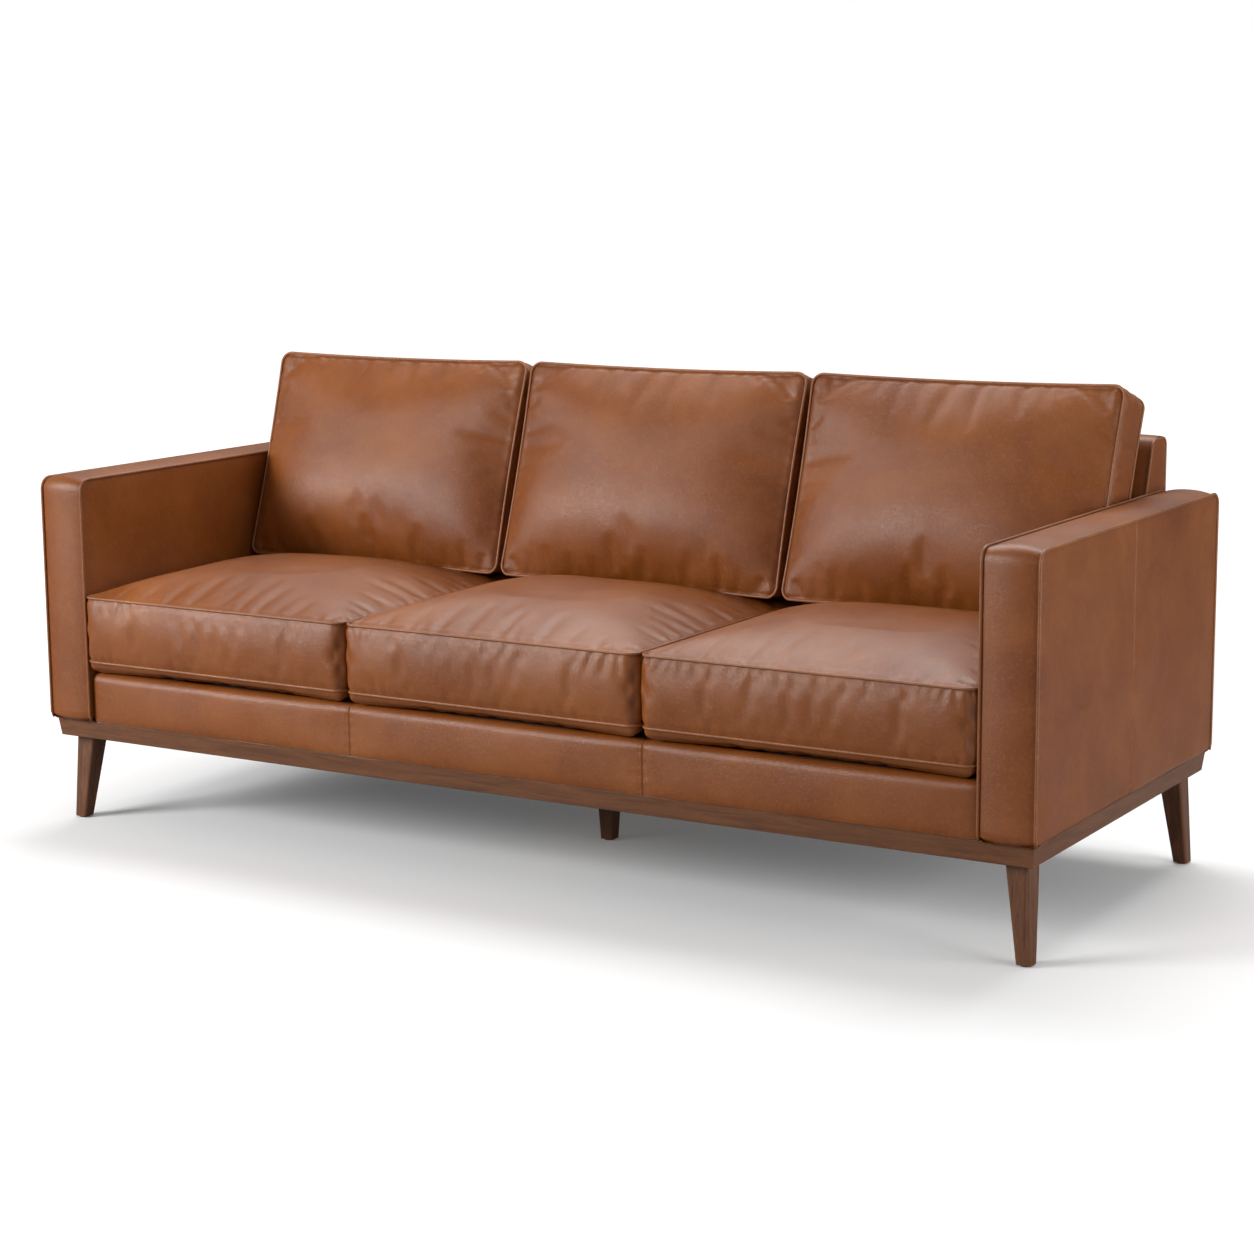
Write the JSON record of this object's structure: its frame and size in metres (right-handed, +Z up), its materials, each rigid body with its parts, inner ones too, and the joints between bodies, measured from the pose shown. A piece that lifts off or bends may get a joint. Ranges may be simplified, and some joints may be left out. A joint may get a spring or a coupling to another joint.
{
  "type": "sofa with wooden legs",
  "caption": "Sofa with slim leather track arms, loose box seat and back cushions, a mitred wooden plinth and splayed tapered wooden legs.",
  "frame": {"origin": "on the floor, under the centre of the bounding box", "axes": "+X along the sofa to the right as seen by someone facing it, +Y from the front to the back, +Z up"},
  "size_m": [2.03, 0.818, 0.866],
  "materials": {
    "tan_leather": "satin",
    "leather_piping": "satin",
    "walnut": "satin",
    "frame_wood": "matte",
    "padding_foam": "matte",
    "cushion_foam": "matte",
    "spring_steel": "satin",
    "zinc_steel": "satin",
    "deck_cloth": "matte",
    "webbing": "matte",
    "dust_cloth": "matte",
    "glide_plastic": "matte"
  },
  "bodies": {
    "sofa_frame": {"backrest_end_covers": "tan_leather", "backrest_frame": "frame_wood", "backrest_front_cover": "tan_leather", "backrest_padding": "padding_foam", "backrest_piping": "leather_piping", "backrest_rear_cover": "tan_leather", "backrest_webbing": "webbing", "center_beam": "frame_wood", "corner_blocks": "frame_wood", "dust_cover": "dust_cloth", "foot_glides": "glide_plastic", "frame_cross_rails": "frame_wood", "frame_front_rail": "frame_wood", "frame_rear_rail": "frame_wood", "frame_spring_rail": "frame_wood", "front_rail_cover_left": "tan_leather", "front_rail_cover_middle": "tan_leather", "front_rail_cover_right": "tan_leather", "front_rail_padding": "padding_foam", "left_arm_band_cover": "tan_leather", "left_arm_frame": "frame_wood", "left_arm_inner_cover": "tan_leather", "left_arm_outer_covers": "tan_leather", "left_arm_padding": "padding_foam", "left_arm_piping": "leather_piping", "leg_center": "walnut", "leg_front_left": "walnut", "leg_front_right": "walnut", "leg_hanger_bolts": "zinc_steel", "leg_rear_left": "walnut", "leg_rear_right": "walnut", "leg_threaded_inserts": "zinc_steel", "plinth_front": "walnut", "plinth_left": "walnut", "plinth_rear": "walnut", "plinth_right": "walnut", "plinth_screws": "zinc_steel", "right_arm_band_cover": "tan_leather", "right_arm_frame": "frame_wood", "right_arm_inner_cover": "tan_leather", "right_arm_outer_covers": "tan_leather", "right_arm_padding": "padding_foam", "right_arm_piping": "leather_piping", "seat_deck": "deck_cloth", "seat_springs": "spring_steel", "spring_clips": "spring_steel"},
    "seat_cushion_left": {"seat_cushion_left_core": "cushion_foam", "seat_cushion_left_cover": "tan_leather"},
    "back_cushion_left": {"back_cushion_left_core": "cushion_foam", "back_cushion_left_cover": "tan_leather"},
    "seat_cushion_middle": {"seat_cushion_middle_core": "cushion_foam", "seat_cushion_middle_cover": "tan_leather"},
    "back_cushion_middle": {"back_cushion_middle_core": "cushion_foam", "back_cushion_middle_cover": "tan_leather"},
    "seat_cushion_right": {"seat_cushion_right_core": "cushion_foam", "seat_cushion_right_cover": "tan_leather"},
    "back_cushion_right": {"back_cushion_right_core": "cushion_foam", "back_cushion_right_cover": "tan_leather"}
  },
  "joints": [
    {"name": "seat_cushion_left_pull", "type": "slide", "parent": "sofa_frame", "child": "seat_cushion_left", "axis": [0, -1, 0], "range_m": [0, 0.62]},
    {"name": "back_cushion_left_lift", "type": "slide", "parent": "sofa_frame", "child": "back_cushion_left", "axis": [0, 0, 1], "range_m": [0, 0.45]},
    {"name": "seat_cushion_middle_pull", "type": "slide", "parent": "sofa_frame", "child": "seat_cushion_middle", "axis": [0, -1, 0], "range_m": [0, 0.62]},
    {"name": "back_cushion_middle_lift", "type": "slide", "parent": "sofa_frame", "child": "back_cushion_middle", "axis": [0, 0, 1], "range_m": [0, 0.45]},
    {"name": "seat_cushion_right_pull", "type": "slide", "parent": "sofa_frame", "child": "seat_cushion_right", "axis": [0, -1, 0], "range_m": [0, 0.62]},
    {"name": "back_cushion_right_lift", "type": "slide", "parent": "sofa_frame", "child": "back_cushion_right", "axis": [0, 0, 1], "range_m": [0, 0.45]}
  ]
}
